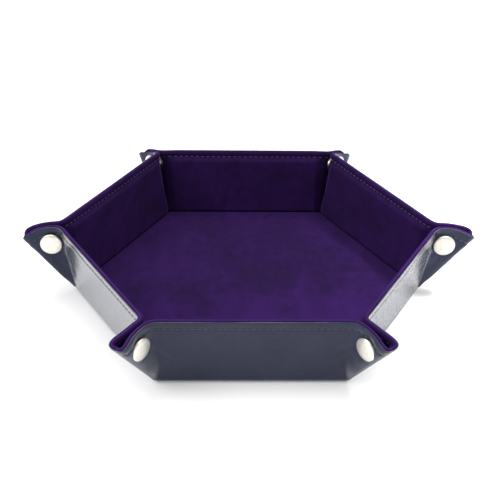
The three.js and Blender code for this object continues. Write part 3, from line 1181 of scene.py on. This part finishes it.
def snaps(i):
    for side, sg in (("stud", -1), ("socket", 1)):
        obj = lathe(f"corner_{i}_{side}_cap_dome", cap_profile(sg), i, cap_finish, 72)
        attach(obj, f"corner_{i}_{side}_half")
        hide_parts(f"corner_{i}_{side}_cap")
    stud = [(0, -0.9), (1.9, -0.9), (1.9, -1.35), (4.1, -1.35), (4.35, -1.28), (4.5, -1.05), (4.35, -0.82), (4.1, -0.75), (2.4, -0.75), (2.05, -0.68), (1.95, -0.5), (2.0, -0.35), (2.25, -0.1), (2.32, 0.15), (2.2, 0.42), (1.9, 0.66), (1.5, 0.75), (0, 0.75)]
    obj = lathe(f"corner_{i}_stud_post", stud, i, nickel, 48)
    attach(obj, f"corner_{i}_stud_half")
    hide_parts(f"corner_{i}_stud")
    sock = [(3.0, -0.3), (3.15, -0.45), (4.45, -0.45), (4.7, -0.36), (4.8, -0.15), (4.8, 1.0), (4.7, 1.2), (4.45, 1.3), (1.9, 1.3), (1.9, 1.0), (3.0, 1.0), (3.0, -0.3)]
    obj = lathe(f"corner_{i}_socket_ring", sock, i, nickel, 48)
    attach(obj, f"corner_{i}_socket_half")
    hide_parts(f"corner_{i}_socket")


# ---------------------------------------------------------------- build
leather_floor()
velvet_floor()
for i in range(1, 7):
    leather_wall(i)
    velvet_wall_skin(i)
    wall_stitches(i)
for i in range(1, 7):
    for side in ("stud", "socket"):
        half = ear_leather(i, side)
        ear_velvet(i, side, half)
        ear_stitches(i, side, half)
    snaps(i)

for name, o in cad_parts.items():
    if name.endswith("_board"):
        o.data.materials.clear()
        o.data.materials.append(board)

# ---------------------------------------------------------------- stage, lights, camera
bpy.context.scene.view_settings.view_transform = "Standard"

fm, nt, b = material("stage_floor")
k = N(nt)
b.inputs["Base Color"].default_value = (0.9, 0.9, 0.9, 1)
b.inputs["Roughness"].default_value = 0.75
b.inputs["Specular IOR Level"].default_value = 0.1
b.inputs["Emission Color"].default_value = (1, 1, 1, 1)
b.inputs["Emission Strength"].default_value = 0.10
bpy.ops.mesh.primitive_plane_add(size=12, location=(0, 2, -0.0003))
floor = bpy.context.object
floor.name = "stage"
floor.data.materials.append(fm)

world = bpy.data.worlds.new("studio")
bpy.context.scene.world = world
world.use_nodes = True
world.node_tree.nodes["Background"].inputs[0].default_value = (1, 1, 1, 1)
world.node_tree.nodes["Background"].inputs[1].default_value = 0.62


def area(name, at, look, size, power, color=(1, 1, 1), spread=None):
    d = bpy.data.lights.new(name, "AREA")
    d.shape = "RECTANGLE"
    d.size, d.size_y = size
    d.energy = power
    d.color = color
    o = bpy.data.objects.new(name, d)
    bpy.context.scene.collection.objects.link(o)
    o.location = at
    o.rotation_euler = (Vector(look) - Vector(at)).to_track_quat("-Z", "Y").to_euler()
    if spread:
        d.spread = math.radians(spread)
    return o


area("top_soft", (0.0, 0.2, 1.5), (0, 0, 0), (1.6, 1.4), 20)
area("left_soft", (-1.2, -0.5, 1.1), (0, 0, 0.02), (0.9, 0.9), 13)
area("right_soft", (1.2, -0.2, 1.0), (0, 0, 0.02), (0.9, 0.9), 2.5)
area("right_table", (0.46, 0.06, 0.6), (0.235, 0.03, 0), (0.2, 0.2), 0.5, spread=24)

yaw, pitch, roll = 3.85466760e-02, 5.55521581e-01, 2.36830227e-02
fwd = Vector((math.sin(yaw) * math.cos(pitch), math.cos(yaw) * math.cos(pitch), -math.sin(pitch)))
right = Vector((math.cos(yaw), -math.sin(yaw), 0))
up = right.cross(fwd)
r2 = right * math.cos(roll) + up * math.sin(roll)
u2 = -right * math.sin(roll) + up * math.cos(roll)
cam_data = bpy.data.cameras.new("camera")
cam_data.sensor_width = 36
cam_data.lens = 1092.70927 * 36 / 500
cam_data.clip_start = 0.01
cam_data.clip_end = 50
cam = bpy.data.objects.new("camera", cam_data)
bpy.context.scene.collection.objects.link(cam)
m = Matrix((r2, u2, -fwd)).transposed().to_4x4()
m.translation = Vector((-19.6484629, -532.547725, 357.657421)) * MM
cam.matrix_world = m
bpy.context.scene.camera = cam

bpy.context.view_layer.update()
